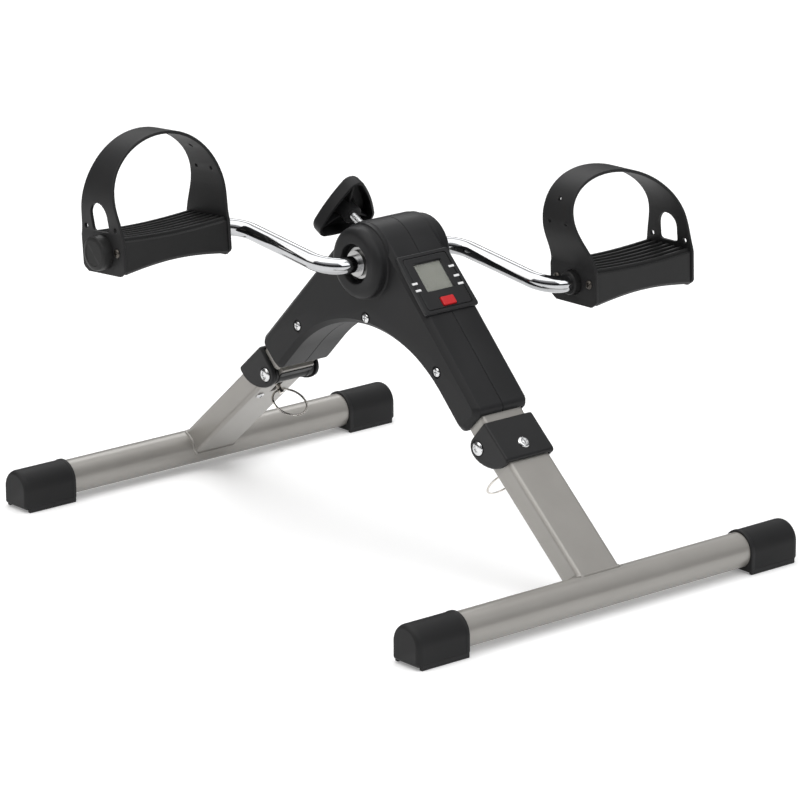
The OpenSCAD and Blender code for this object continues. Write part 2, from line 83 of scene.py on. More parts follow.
class Paint:
    """One node tree, for a material or the sky. node() adds any node and gives its output."""

    def __init__(self, name, tree=None):
        if tree is None:
            self.material = bpy.data.materials.new(name)
            self.material.use_nodes = True
            tree = self.material.node_tree
            self.shader = tree.nodes["Principled BSDF"]
        self.tree = tree

    def node(self, kind, settings=None, inputs=None, out=0):
        made = self.tree.nodes.new(kind)
        for key, value in (settings or {}).items():
            if key == "stops":
                ramp = made.color_ramp.elements
                while len(ramp) < len(value):
                    ramp.new(0.5)
                for stop, (place, colour) in zip(ramp, value):
                    stop.position, stop.color = place, colour
            else:
                setattr(made, key, value)
        for key, value in (inputs or {}).items():
            self.feed(made.inputs[key], value)
        return Link(self, made.outputs[out])

    def feed(self, socket, value):
        if isinstance(value, Link):
            self.tree.links.new(value.out, socket)
        else:
            socket.default_value = value

    def millimetres(self, stretch=(1.0, 1.0, 1.0)):
        """The surface's own coordinates in millimetres, drawn out along an axis if asked."""
        place = self.node("ShaderNodeTexCoord", out="Object")
        return self.node("ShaderNodeMapping", {}, {0: place, "Scale": [MM * s for s in stretch]})

    def noise(self, grain, detail=2.0, stretch=(1.0, 1.0, 1.0)):
        """Noise from 0 to 1 whose grains are about that many millimetres across."""
        return self.node("ShaderNodeTexNoise", {}, {
            "Vector": self.millimetres(stretch), "Scale": 1.0 / grain, "Detail": detail})

    def blend(self, factor, dark, light):
        """A colour between two, by a factor from 0 to 1."""
        stops = [(0.0, (*dark, 1.0)), (1.0, (*light, 1.0))]
        return self.node("ShaderNodeValToRGB", {"stops": stops}, {0: factor})

    def bump(self, height, depth):
        """A normal from a height of 0 to 1 that stands that many millimetres proud."""
        return self.node("ShaderNodeBump", {}, {"Height": height, "Distance": depth / MM, "Strength": 1.0})

    def finish(self, **values):
        """Sets the shader's sockets, whose names are given with _ for each space."""
        for key, value in values.items():
            self.feed(self.shader.inputs[key.replace("_", " ")], value)
        return self.material


VIEW = dict(azimuth=-39.62, elevation=16.88, roll=-0.40, distance=3.7733, lens=224.76)
LOOK_AT = Vector((0.004317, -0.003485, 0.105849))


def aim(azimuth, elevation, roll=0.0):
    """The way out to a bearing, and the turn of a camera or lamp there that looks inward."""
    a, e = math.radians(azimuth), math.radians(elevation)
    back = Vector((math.sin(a) * math.cos(e), -math.cos(a) * math.cos(e), math.sin(e)))
    turn = back.to_track_quat("Z", "Y").to_matrix()
    return back, (turn @ Matrix.Rotation(math.radians(roll), 3, "Z")).to_4x4()


back, turn = aim(VIEW["azimuth"], VIEW["elevation"], VIEW["roll"])
camera = bpy.data.objects.new("camera", bpy.data.cameras.new("camera"))
camera.data.lens = VIEW["lens"]
camera.data.sensor_width = 36.0
camera.data.clip_end = 50.0
camera.matrix_world = Matrix.Translation(LOOK_AT + back * VIEW["distance"]) @ turn
bpy.context.scene.collection.objects.link(camera)
bpy.context.scene.camera = camera
bpy.context.scene.view_settings.view_transform = "Standard"


def lamp(name, azimuth, elevation, distance, size, power, tint=(1.0, 1.0, 1.0)):
    """A soft rectangular light that stands at a bearing and faces the object."""
    light = bpy.data.objects.new(name, bpy.data.lights.new(name, "AREA"))
    away, facing = aim(azimuth, elevation)
    light.data.shape = "RECTANGLE"
    light.data.size, light.data.size_y = size
    light.data.energy = power
    light.data.color = tint
    light.matrix_world = Matrix.Translation(LOOK_AT + away * distance) @ facing
    bpy.context.scene.collection.objects.link(light)


lamp("overhead_light", -30, 82, 2.2, (2.6, 2.6), 34)
lamp("left_light", -105, 38, 2.4, (1.5, 1.9), 17, (1.0, 0.985, 0.96))
lamp("front_light", 12, 32, 2.6, (1.1, 1.5), 11, (0.97, 0.985, 1.0))
lamp("rear_light", 150, 40, 2.4, (1.8, 1.0), 13)

sky = bpy.data.worlds.new("studio")
sky.use_nodes = True
bpy.context.scene.world = sky
studio = Paint("studio", sky.node_tree)
direction = studio.node("ShaderNodeTexCoord", out="Generated")
up = studio.node("ShaderNodeSeparateXYZ", {}, {0: direction}, out="Z")
SKY_STRENGTH, FLOOR_HALF, FLOOR_DROP = 0.72, 4.0, 0.0002
SKY_STOPS = [(0.0, (0.9, 0.9, 0.9, 1)), (0.46, (0.5, 0.5, 0.5, 1)), (0.51, (0.03, 0.03, 0.033, 1)),
             (0.68, (0.06, 0.06, 0.063, 1)), (0.78, (0.65, 0.65, 0.66, 1)), (1.0, (1.0, 1.0, 1.0, 1))]
shade = studio.node("ShaderNodeValToRGB", {"stops": SKY_STOPS}, {0: up * 0.5 + 0.5})
studio.feed(sky.node_tree.nodes["Background"].inputs["Color"], shade)
sky.node_tree.nodes["Background"].inputs["Strength"].default_value = SKY_STRENGTH

floor_paint = Paint("pale_floor")
floor_white = floor_paint.blend(floor_paint.noise(900.0), (0.86, 0.86, 0.86), (0.88, 0.88, 0.88))
floor_mesh = bpy.data.meshes.new("floor")
floor_mesh.from_pydata(
    [(x * FLOOR_HALF, y * FLOOR_HALF, -FLOOR_DROP) for x, y in ((-1, -1), (1, -1), (1, 1), (-1, 1))],
    [], [(0, 1, 2, 3)])
floor_mesh.materials.append(floor_paint.finish(
    Base_Color=floor_white, Roughness=0.9, Specular_IOR_Level=0.1,
    Emission_Color=(1, 1, 1, 1), Emission_Strength=0.22))
floor = bpy.data.objects.new("floor", floor_mesh)
bpy.context.scene.collection.objects.link(floor)


# ----------------------------------------------------
# Frame: two lengths of rectangular steel tube welded to a round shell, all in
# silver enamel. A knuckle for the hinge bolt is welded to each lower end.
# ----------------------------------------------------
def silver_enamel():
    paint = Paint("silver_enamel")
    flake = paint.noise(0.12, 1.0)
    cloud = paint.noise(26.0, 3.0)
    peel = paint.noise(1.7, 1.0)
    colour = paint.blend(cloud * 0.5 + flake * 0.5, (0.262, 0.250, 0.231), (0.350, 0.336, 0.314))
    return paint.finish(
        Base_Color=colour, Metallic=0.35, Roughness=flake * 0.10 + cloud * 0.08 + 0.30,
        Coat_Weight=0.35, Coat_Roughness=0.16,
        Normal=paint.bump(peel * 0.7 + flake * 0.3, 0.012))


def ring_of(outline, place):
    """An outline of (a, b) points set in space by place(a, b)."""
    return [place(a, b) for a, b in outline]


def loft(rings, ends=True):
    """A shell through rings of equal count, closed over its two ends."""
    count = len(rings[0])
    corners = [point for ring in rings for point in ring]
    faces = []
    for k in range(len(rings) - 1):
        for j in range(count):
            n = (j + 1) % count
            faces.append((k * count + j, k * count + n, (k + 1) * count + n, (k + 1) * count + j))
    if ends:
        faces.append(tuple(range(count))[::-1])
        faces.append(tuple(range((len(rings) - 1) * count, len(rings) * count)))
    return corners, faces


def arc(cx, cy, radius, start, stop, steps):
    """Points along a circle, from one angle to another in degrees."""
    turns = [math.radians(start + (stop - start) * i / steps) for i in range(steps + 1)]
    return [(cx + radius * math.cos(t), cy + radius * math.sin(t)) for t in turns]


def rounded(corners, steps=6):
    """A polygon whose corners (x, y, radius) are turned into arcs."""
    outline = []
    for i, (x, y, radius) in enumerate(corners):
        here = Vector((x, y))
        before = (Vector(corners[i - 1][:2]) - here).normalized()
        after = (Vector(corners[(i + 1) % len(corners)][:2]) - here).normalized()
        half = before.angle(after) / 2
        if radius <= 0 or half > math.radians(89.5):
            outline.append((x, y))
            continue
        centre = here + (before + after).normalized() * radius / math.sin(half)
        first = here + before * radius / math.tan(half) - centre
        last = here + after * radius / math.tan(half) - centre
        for k in range(steps + 1):
            spoke = first.slerp(last, k / steps) if steps else first
            outline.append(tuple(centre + spoke.normalized() * radius))
    return outline


def inset(outline, depth):
    """The outline drawn in by a depth, each corner along its own bisector."""
    if not depth:
        return list(outline)
    drawn = []
    for i, point in enumerate(outline):
        here = Vector(point)
        into = (here - Vector(outline[i - 1])).normalized()
        onward = (Vector(outline[(i + 1) % len(outline)]) - here).normalized()
        first, second = Vector((-into.y, into.x)), Vector((-onward.y, onward.x))
        bisector = (first + second).normalized()
        drawn.append(tuple(here + bisector * depth / max(0.4, bisector.dot(first))))
    return drawn


def eased(low, high, r_low, r_high, steps=4):
    """Stations (height, inset) of a slab whose two edges are rounded."""
    quarter = [math.radians(90.0 * i / steps) for i in range(steps + 1)]
    below = [(low + r_low * (1 - math.sin(t)), r_low * (1 - math.cos(t))) for t in quarter][::-1]
    above = [(high - r_high * (1 - math.sin(t)), r_high * (1 - math.cos(t))) for t in quarter]
    return (below if r_low else [(low, 0.0)]) + (above if r_high else [(high, 0.0)])


def along_x(outline, stations):
    """A slab across X: outline holds (y, z), stations hold (x, inset)."""
    return loft([ring_of(inset(outline, d), lambda y, z, x=x: (x, y, z)) for x, d in stations])


def along_y(outline, stations):
    """A slab across Y: outline holds (z, x), stations hold (y, inset)."""
    return loft([ring_of(inset(outline, d), lambda z, x, y=y: (x, y, z)) for y, d in stations])


def along_z(outline, stations):
    """A slab across Z: outline holds (x, y), stations hold (z, inset)."""
    return loft([ring_of(inset(outline, d), lambda x, y, z=z: (x, y, z)) for z, d in stations])


def lathe(profile, sides=64):
    """A turned shape about X from (x, radius) points, with a flat face over each end."""
    turns = [math.tau * k / sides for k in range(sides)]
    rings = [[(x, max(r, 0.02) * math.cos(t), max(r, 0.02) * math.sin(t)) for t in turns] for x, r in profile]
    return loft(rings)


def block(x0, x1, y0, y1, z0, z1, edge=0.0):
    """A block between two corners, its long edges rounded."""
    outline = rounded([(y0, z0, edge), (y1, z0, edge), (y1, z1, edge), (y0, z1, edge)], 3)
    return along_x(outline, eased(x0, x1, 0.6 * edge, 0.6 * edge, 2))


def shift(x, y, z):
    return Matrix.Translation((x, y, z))


def spun(angle, axis):
    return Matrix.Rotation(angle, 4, axis)


def moved(shell, place):
    """A shell carried to another place by a matrix, turned outside out if it mirrors."""
    corners, faces = shell
    placed = [tuple(place @ Vector(c)) for c in corners]
    return placed, [f[::-1] for f in faces] if place.determinant() < 0 else faces


def mesh_of(name, corners, faces):
    """A mesh whose faces all look outward."""
    mesh = bpy.data.meshes.new(name)
    mesh.from_pydata(corners, [], faces)
    shape = bmesh.new()
    shape.from_mesh(mesh)
    bmesh.ops.recalc_face_normals(shape, faces=shape.faces)
    shape.to_mesh(mesh)
    shape.free()
    return mesh


def workpiece(shell):
    made = bpy.data.objects.new("workpiece", mesh_of("workpiece", *shell))
    bpy.context.scene.collection.objects.link(made)
    return made


def worked(first, fuse=(), cut=()):
    """Fuses closed shells onto a first one, then cuts others out of it."""
    base = workpiece(first)
    tools = []
    for operation, shells in (("UNION", fuse), ("DIFFERENCE", cut)):
        for shell in shells:
            tool = workpiece(shell)
            step = base.modifiers.new(operation, "BOOLEAN")
            step.operation, step.object, step.solver = operation, tool, "EXACT"
            tools.append(tool)
    seen = base.evaluated_get(bpy.context.evaluated_depsgraph_get())
    mesh = bpy.data.meshes.new_from_object(seen)
    result = [tuple(v.co) for v in mesh.vertices], [tuple(f.vertices) for f in mesh.polygons]
    for leftover in [base] + tools:
        spent = leftover.data
        bpy.data.objects.remove(leftover)
        bpy.data.meshes.remove(spent)
    bpy.data.meshes.remove(mesh)
    return result


def together(*shells):
    """Several closed shells as one mesh."""
    corners, faces = [], []
    for more, sides in shells:
        faces += [tuple(i + len(corners) for i in side) for side in sides]
        corners += more
    return corners, faces


def piece(name, shell, material, body, stands_for=(), place=Matrix(), sharp=34.0):
    """Makes the finished piece in metres, shades it and rides it on its body."""
    corners, faces = moved(shell, place)
    mesh = mesh_of(name, [tuple(c / MM for c in corner) for corner in corners], faces)
    mesh.shade_smooth()
    mesh.set_sharp_from_angle(angle=math.radians(sharp))
    mesh.materials.append(material)
    made = bpy.data.objects.new(name, mesh)
    bpy.context.scene.collection.objects.link(made)
    even = made.modifiers.new("even_shading", "WEIGHTED_NORMAL")
    even.keep_sharp = True
    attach(made, body)
    if stands_for:
        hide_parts(*stands_for)
    return made


def dress(material, *nodes):
    """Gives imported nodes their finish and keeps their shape."""
    for name in nodes:
        mesh = frame["nodes"][name].data
        mesh.materials.clear()
        mesh.materials.append(material)


SIDES = (("front", -1), ("rear", 1))
HANDS = (("left", -1), ("right", 1))
hub = Vector(joints["crank_turn"]["pos_m"]) * MM
pin = Vector(joints["leg_rear_fold"]["pos_m"]) * MM
leg_axis = Vector(joints["latch_rear_pull"]["axis"])
arm_normal = Vector(joints["button_press"]["axis"])
ARM_SLOPE = math.atan2(-arm_normal.y, arm_normal.z)
LEG_SLOPE = math.atan2(-leg_axis.z, leg_axis.y)


def across(side):
    """Mirrors front to rear for a side of -1."""
    return Matrix.Diagonal((1, side, 1, 1))


def handed(side):
    """Mirrors right to left for a side of -1."""
    return Matrix.Diagonal((side, 1, 1, 1))


def on_arm(side):
    """The arm's own frame: Y down along the arm from the hub, Z out of its upper face."""
    return across(side) @ Matrix.Translation(hub) @ spun(-ARM_SLOPE, "X")


def on_leg(side):
    """The leg's own frame: Y down along the leg from its hinge bolt, Z out of its upper face."""
    return across(side) @ Matrix.Translation(pin) @ spun(-LEG_SLOPE, "X")


TUBE_W, TUBE_H, TUBE_EDGE = 40.0, 20.0, 3.2
TUBE_LOW = -3.0
pin_on_arm = Matrix.Rotation(ARM_SLOPE, 3, "X") @ (pin - hub)
PIN_T, PIN_N = pin_on_arm.y, pin_on_arm.z
KNUCKLE_R, KNUCKLE_HALF = 7.5, 15.6


def tube_outline(low):
    """Section (z, x) of the rectangular tube over its lower face."""
    return rounded([(low, -TUBE_W / 2, TUBE_EDGE), (low + TUBE_H, -TUBE_W / 2, TUBE_EDGE),
                    (low + TUBE_H, TUBE_W / 2, TUBE_EDGE), (low, TUBE_W / 2, TUBE_EDGE)])


silver = silver_enamel()
TUBE_START, TUBE_GAP = 24.0, 9.5
hole_place = spun(ARM_SLOPE - LEG_SLOPE, "X") @ shift(0, 0, 2.5)
latch_hole = moved(lathe([(0.0, 3.3), (12.0, 3.3)], 32), hole_place @ spun(math.pi / 2, "Z"))
for end, side in SIDES:
    tube_end = PIN_T - TUBE_GAP
    tube = along_y(tube_outline(PIN_N + TUBE_LOW), [(TUBE_START, 0), (tube_end - 0.6, 0), (tube_end, 0.6)])
    neck = block(-KNUCKLE_HALF, KNUCKLE_HALF, tube_end - 2, PIN_T - 1, PIN_N - 6, PIN_N + 6, 0.8)
    barrel_half = [(KNUCKLE_HALF - 0.5, KNUCKLE_R), (KNUCKLE_HALF, KNUCKLE_R - 0.5), (KNUCKLE_HALF, 3.9)]
    barrel = worked(lathe([(-x, r) for x, r in barrel_half[::-1]] + barrel_half), cut=[latch_hole])
    barrel = moved(barrel, shift(0, PIN_T, PIN_N))
    piece(f"frame_tube_{end}_enamelled", together(tube, neck, barrel), silver, "frame",
          [f"frame_tube_{end}"], on_arm(side))
dress(silver, "bearing_shell")


# ----------------------------------------------------
# Turning metal inside the hub: bearings, drum, magnet, washers, and the push-on
# retainers of the pedals. Each is turned or pressed steel, lightly machined.
# ----------------------------------------------------
def turned_steel(name, colour, rough, spread=0.12, grain=0.35):
    paint = Paint(name)
    lines = paint.noise(grain, 2.0, (6.0, 0.6, 0.6))
    stain = paint.noise(5.0, 3.0)
    dark = tuple(c * 0.8 for c in colour)
    return paint.finish(
        Base_Color=paint.blend(stain, dark, colour), Metallic=1.0,
        Roughness=lines * spread + stain * 0.08 + rough, Normal=paint.bump(lines, 0.004))


zinc = turned_steel("zinc_plate", (0.46, 0.46, 0.455), 0.20)
dress(zinc, "bearing_left", "bearing_right", "hub_washers", "pedal_retainers", "console_battery")
dress(turned_steel("turned_iron", (0.23, 0.22, 0.21), 0.30), "brake_drum")


def ferrite():
    paint = Paint("ferrite")
    grain = paint.noise(0.5, 3.0)
    return paint.finish(Base_Color=paint.blend(grain, (0.02, 0.02, 0.022), (0.05, 0.05, 0.055)),
                        Roughness=grain * 0.2 + 0.4, Normal=paint.bump(grain, 0.02))


dress(ferrite(), "crank_magnet")


# ----------------------------------------------------
# Crank: one 13 mm steel rod, bent twice on each side, polished and chromed.
# It runs through the hub and carries a pedal on each end.
# ----------------------------------------------------
def chrome_plate():
    paint = Paint("chrome_plate")
    haze = paint.noise(9.0, 3.0)
    draw = paint.noise(0.7, 2.0, (0.12, 1.0, 1.0))
    return paint.finish(
        Base_Color=paint.blend(haze, (0.40, 0.405, 0.415), (0.55, 0.555, 0.565)), Metallic=1.0,
        Roughness=haze * 0.05 + draw * 0.05 + 0.035, Normal=paint.bump(draw, 0.0012))


right_axle = Vector(joints["pedal_right_spin"]["pos_m"]) * MM
CRANK_R = (right_axle - hub).yz.length
CRANK_TURN = math.atan2((right_axle - hub).z, (right_axle - hub).y)
ROD_R, BEND_R = 6.5, 22.0
BEND_X = (60.0, 76.0)
ROD_END = 204.0
BEND_TURN = math.atan2(CRANK_R, BEND_X[1] - BEND_X[0])
BEND_CUT = BEND_R * math.tan(BEND_TURN / 2)
ARC_STEPS = 14


def crank_half():
    """Centre line (x, y, heading) of one side: out, round, across, round and out again."""
    line = [(0.0, 0.0, 0.0)]
    for k in range(ARC_STEPS + 1):
        t = BEND_TURN * k / ARC_STEPS
        line.append((BEND_X[0] - BEND_CUT + BEND_R * math.sin(t), BEND_R * (1 - math.cos(t)), t))
    for k in range(ARC_STEPS + 1):
        t = BEND_TURN * (1 - k / ARC_STEPS)
        line.append((BEND_X[1] + BEND_CUT - BEND_R * math.sin(t), CRANK_R - BEND_R * (1 - math.cos(t)), t))
    return line + [(ROD_END - 1.2, CRANK_R, 0.0)]


def rod_ring(x, y, heading, radius, sides=40):
    ring = []
    for k in range(sides):
        a = math.tau * k / sides
        side = radius * math.cos(a)
        ring.append((x - math.sin(heading) * side, y + math.cos(heading) * side, radius * math.sin(a)))
    return ring


right_line = crank_half()
left_line = [(-x, -y, t) for x, y, t in right_line[:0:-1]]
rings = [rod_ring(-ROD_END, -CRANK_R, 0.0, ROD_R - 1.2)]
rings += [rod_ring(x, y, t, ROD_R) for x, y, t in left_line + right_line]
rings.append(rod_ring(ROD_END, CRANK_R, 0.0, ROD_R - 1.2))
crank_place = Matrix.Translation(hub) @ spun(CRANK_TURN, "X")
piece("crank_chromed", loft(rings), chrome_plate(), "crank", ["crank_rod"], crank_place)


# ----------------------------------------------------
# Housing: two moulded halves of matt black plastic that close over the frame.
# Each has a bevelled edge, a round boss at the hub and three sunk screws.
# ----------------------------------------------------
def moulded(name, dark, light, rough, grain=0.55, depth=0.018, gloss=0.20, coat=0.0):
    """Black plastic from a textured mould, its sharp edges painted paler as a highlight and made glossier as
    handled wear.
    """
    paint = Paint(name)
    fine = paint.noise(grain, 2.0)
    flow = paint.noise(38.0, 2.0)
    # Pointiness finds the sharp edges: their base colour is painted paler as a highlight, and their roughness
    # is lowered as wear.
    edge = paint.node("ShaderNodeNewGeometry", out="Pointiness")
    edge_highlight_and_wear = paint.node("ShaderNodeMapRange", {}, {0: edge, 1: 0.505, 2: 0.56})
    tone = flow * 0.45 + fine * 0.20 + edge_highlight_and_wear * 0.35
    return paint.finish(
        Base_Color=paint.blend(tone, dark, light), Roughness=fine * 0.10 + flow * 0.08 - edge_highlight_and_wear * 0.08 + rough,
        Specular_IOR_Level=gloss, Coat_Weight=coat, Coat_Roughness=0.25, Normal=paint.bump(fine, depth))


body_black = moulded("housing_black", (0.0085, 0.0085, 0.009), (0.021, 0.021, 0.022), 0.40)
BODY_R, ARM_LEN, ARM_LOW, ARM_CORNER = 30.0, 155.0, 0.5, 6.0
ARCH_TOP = 50.5
arch_depth = (ARCH_TOP + ARM_LOW) / (1 - math.cos(ARM_SLOPE))
FACING = 90 - math.degrees(ARM_SLOPE)


def arm_point(t, n, side):
    """The (y, z) of a point t along and n out of the arm on one side."""
    return (side * (t * math.cos(ARM_SLOPE) + n * math.sin(ARM_SLOPE)),
            n * math.cos(ARM_SLOPE) - t * math.sin(ARM_SLOPE))


def body_outline(d):
    """Outline (y, z) of the housing drawn in by d: crown, front arm, arch, rear arm."""
    r = ARM_CORNER - d / 2
    tip = ARM_LEN - d - r
    end = arc(tip, BODY_R - d - r, r, 90, 0, 5) + arc(tip, ARM_LOW + d + r, r, 0, -90, 5)
    crown = arc(0, 0, BODY_R - d, FACING, 180 - FACING, 24)
    arch = arc(0, -arch_depth, arch_depth - ARCH_TOP + d, 180 - FACING, FACING, 32)
    front = [arm_point(t, n, -1) for t, n in end]
    return crown + front + arch + [arm_point(t, n, 1) for t, n in end[::-1]]


def body_slab(stations):
    return loft([[(x, y, z) for y, z in body_outline(d)] for x, d in stations])


EDGE_STATIONS = [(0.12, 0.45), (0.3, 0.12), (0.6, 0.0), (21.4, 0.0), (22.2, 0.25), (25.2, 3.1),
                 (25.8, 3.7), (26.0, 4.4)]
BOSS = [(22.0, 8.0), (22.0, 29.4), (25.9, 29.4), (26.3, 28.4), (27.2, 27.7), (28.4, 27.5)]
boss_turns = [math.radians(9 * k) for k in range(11)]
BOSS += [(31.0 + 6 * math.sin(t), 21.5 + 6 * math.cos(t)) for t in boss_turns]
BOSS += [(37.0, 16.2), (36.6, 15.3), (35.8, 15.0), (30.6, 15.0), (30.0, 14.4), (30.0, 8.0)]
SCREW_T, SCREW_N, ARCH_SCREW = 106.0, 11.0, -44.0
screw_spots = [arm_point(SCREW_T, SCREW_N, s) for s in (-1, 1)]
screw_spots.append((0.0, ARCH_SCREW))

tube_room = block(-1.0, TUBE_W / 2 + 0.3, 120, ARM_LEN + 2, PIN_N + TUBE_LOW - 0.3,
                  PIN_N + TUBE_LOW + TUBE_H + 0.3, 0.4)
console_room = block(-1.0, 20, 21, 66, BODY_R - 6, BODY_R + 1)
screw_room = lathe([(24.6, 4.3), (25.4, 4.5), (26.6, 5.6)], 32)
half = worked(
    body_slab(EDGE_STATIONS),
    fuse=[lathe(BOSS)],
    cut=[body_slab([(-1.0, 2.5), (20.5, 2.6), (22.8, 5.2)]),
         lathe([(-1.0, 20.2), (22.2, 20.2)]), lathe([(-1.0, 8.0), (31.0, 8.0)])]
    + [moved(tube_room, across(side) @ spun(-ARM_SLOPE, "X")) for side in (-1, 1)]
    + [moved(console_room, across(-1) @ spun(-ARM_SLOPE, "X"))]
    + [moved(screw_room, shift(0, y, z)) for y, z in screw_spots])
knob_axis = Vector(joints["knob_turn"]["axis"])
on_knob = Matrix.Translation(hub) @ spun(math.atan2(knob_axis.z, knob_axis.y) - math.pi / 2, "X")
to_knob = spun(-math.pi / 2, "Y")
half = worked(half, cut=[moved(moved(lathe([(15.0, 5.0), (40.0, 5.0)], 40), to_knob),
                               Matrix.Translation(-hub) @ on_knob)])
for hand, side in HANDS:
    piece(f"housing_{hand}_moulded", half, body_black, "frame", [f"housing_{hand}"],
          Matrix.Translation(hub) @ handed(side), 28.0)


def pan_head(radius, height, depth, slot_half, slot_width, sides=32):
    """A domed screw head that faces +X from x = 0, with a cross sunk in it."""
    dome = [(0.0, 0.1), (0.0, radius)]
    dome += [(0.25 * height + 0.75 * height * math.sin(t), radius * (0.25 + 0.75 * math.cos(t)))
             for t in [math.radians(15 * k) for k in range(7)]]
    arms = [block(height - depth, height + 1, -a, a, -b, b)
            for a, b in ((slot_half, slot_width / 2), (slot_width / 2, slot_half))]
    return worked(lathe(dome, sides), cut=arms)


nickel = turned_steel("nickel_plate", (0.74, 0.745, 0.75), 0.14, 0.10, 0.25)
head = pan_head(3.6, 1.7, 1.2, 2.2, 0.75)
for hand, side in HANDS:
    heads = [moved(head, shift(25.1, y, z)) for y, z in screw_spots]
    shanks = [moved(lathe([(17.0, 0.3), (17.6, 1.8), (25.2, 1.8)], 20), shift(0, y, z))
              for y, z in screw_spots]
    piece(f"housing_screws_{hand}_heads", together(*heads, *shanks), nickel, "frame",
          [f"housing_screws_{hand}"], Matrix.Translation(hub) @ handed(side))


# ----------------------------------------------------
# Brake: a leather-faced shoe, the bolt that presses it on the drum through a
# nut welded to the shell, and the hollow three-cornered knob that turns it.
# ----------------------------------------------------
def pressed_leather():
    paint = Paint("pressed_leather")
    grain = paint.noise(0.6, 4.0)
    return paint.finish(Base_Color=paint.blend(grain, (0.14, 0.075, 0.035), (0.33, 0.20, 0.11)),
                        Roughness=grain * 0.2 + 0.65, Normal=paint.bump(grain, 0.08))


dress(pressed_leather(), "brake_shoe")
dress(zinc, "tension_nut")

BOLT_R, THREAD_PITCH, THREAD_DEPTH = 3.0, 1.0, 0.28
KNOB_SIDE, KNOB_ROUND, KNOB_SWELL = 65.0, 9.0, 1.3


def threaded_rod(low, high, sides=24):
    """A bolt along Z whose radius rises and falls once a pitch, one helix deep."""
    steps = int((high - low) / THREAD_PITCH * 8)
    rings = []
    for i in range(steps + 1):
        z = low + (high - low) * i / steps
        ring = []
        for k in range(sides):
            phase = (z / THREAD_PITCH - k / sides) % 1.0
            r = BOLT_R - THREAD_DEPTH * abs(2 * phase - 1)
            ring.append((r * math.cos(math.tau * k / sides), r * math.sin(math.tau * k / sides), z))
        rings.append(ring)
    return loft(rings)


piece("tension_bolt_threaded", threaded_rod(17.55, 62.0), nickel, "knob",
      ["tension_bolt"], on_knob, 60.0)


def knob_heading(k):
    """The angle at which one of the knob's three corners points."""
    return math.radians(120 * k - 94)


def knob_corner(d, k):
    """The arc round one of the knob's three corners."""
    reach = KNOB_SIDE / math.sqrt(3) - 2 * KNOB_ROUND
    heading = knob_heading(k)
    return [((reach + x) * math.cos(heading) - y * math.sin(heading),
             (reach + x) * math.sin(heading) + y * math.cos(heading))
            for x, y in arc(0, 0, KNOB_ROUND - d, -60, 60, 8)]


def knob_outline(d):
    """Three rounded corners joined by slightly swelled sides, drawn in by d."""
    outline = []
    for k in range(3):
        outline += knob_corner(d, k)
        a, b = Vector(outline[-1]), Vector(knob_corner(d, k + 1)[0])
        out = Vector(((b - a).y, -(b - a).x)).normalized()
        for f in [i / 8 for i in range(1, 8)]:
            outline.append(tuple(a.lerp(b, f) + out * KNOB_SWELL * 4 * f * (1 - f)))
    return outline


def knob_ring(z, d):
    return [(x, y, z) for x, y in knob_outline(d)]


knob_rings = [(63.0, 8.6), (63.0, 4.6), (62.4, 3.6), (61.2, 3.1), (54.6, 2.5), (54.0, 2.1), (54.0, 0.9),
              (54.3, 0.25), (55.0, 0.0), (62.4, 0.15), (64.2, 0.8), (65.3, 1.9), (65.8, 3.3),
              (66.0, 5.0), (66.0, 8.6)]
post_profile = [(50.0, 3.1), (50.0, 6.7), (50.6, 7.4), (60.8, 7.8), (62.2, 8.6), (63.5, 10.5), (63.5, 3.1)]
post = moved(lathe(post_profile, 48), to_knob)
webs = [moved(block(6.5, 26, -0.9, 0.9, 57.5, 63.4, 0.4), spun(knob_heading(k), "Z"))
        for k in range(3)]
knob_black = moulded("knob_black", (0.008, 0.008, 0.0085), (0.022, 0.022, 0.0225), 0.46, 0.5, 0.03)
piece("tension_knob_moulded", together(loft([knob_ring(z, d) for z, d in knob_rings]), post, *webs),
      knob_black, "knob", ["tension_knob"], on_knob, 40.0)


# ----------------------------------------------------
# Console: a thin satin plate let into the front arm, with a clear window over a
# plain liquid-crystal panel, a red button and five printed bars.
# ----------------------------------------------------
def tapered(low_half, top_half, low, top, edge, steps=6):
    """A flat outline whose half width goes from one value at its low end to another at its top."""
    return rounded([(-low_half, low, edge), (low_half, low, edge),
                    (top_half, top, edge), (-top_half, top, edge)], steps)


console_black = moulded(
    "console_black", (0.006, 0.006, 0.0065), (0.016, 0.016, 0.017), 0.30, 0.35, 0.006, 0.32)
CON_LOW, CON_TOP, CON_T = 30.0, 32.0, (17.5, 69.0)
CON_HALF = (24.6, 25.8)
plate = rounded([(-CON_HALF[0], CON_T[0], 1.6), (CON_HALF[0], CON_T[0], 1.6),
                 (CON_HALF[1], CON_T[1], 2.2), (-CON_HALF[1], CON_T[1], 2.2)])
bezel = tapered(20.4, 21.2, 21.0, 65.6, 2.0)
groove = tapered(20.9, 21.7, 20.5, 66.1, 2.2)
opening = tapered(13.7, 13.7, 25.3, 50.7, 1.0)
keyhole = tapered(6.7, 6.7, 56.6, 64.9, 1.0)
case = worked(
    along_z(plate, eased(CON_LOW - 0.3, CON_TOP - 0.1, 0.0, 0.9)),
    cut=[along_z(groove, [(CON_LOW - 1, 0.0), (CON_TOP + 1, 0.0)])])
face = worked(
    along_z(bezel, eased(CON_LOW - 4.6, CON_TOP, 0.0, 0.45)),
    cut=[along_z(opening, [(CON_TOP - 1.7, 0.9), (CON_TOP - 1.5, 0.9), (CON_TOP + 0.1, 0.0)]),
         along_z(opening, [(CON_LOW - 5, 0.9), (CON_TOP - 1.6, 0.9)]),
         along_z(keyhole, [(CON_LOW - 5, 0.0), (CON_TOP + 1, 0.0)])])
piece("console_case_plate", together(case, face), console_black, "frame",
      ["console_case"], on_arm(-1))


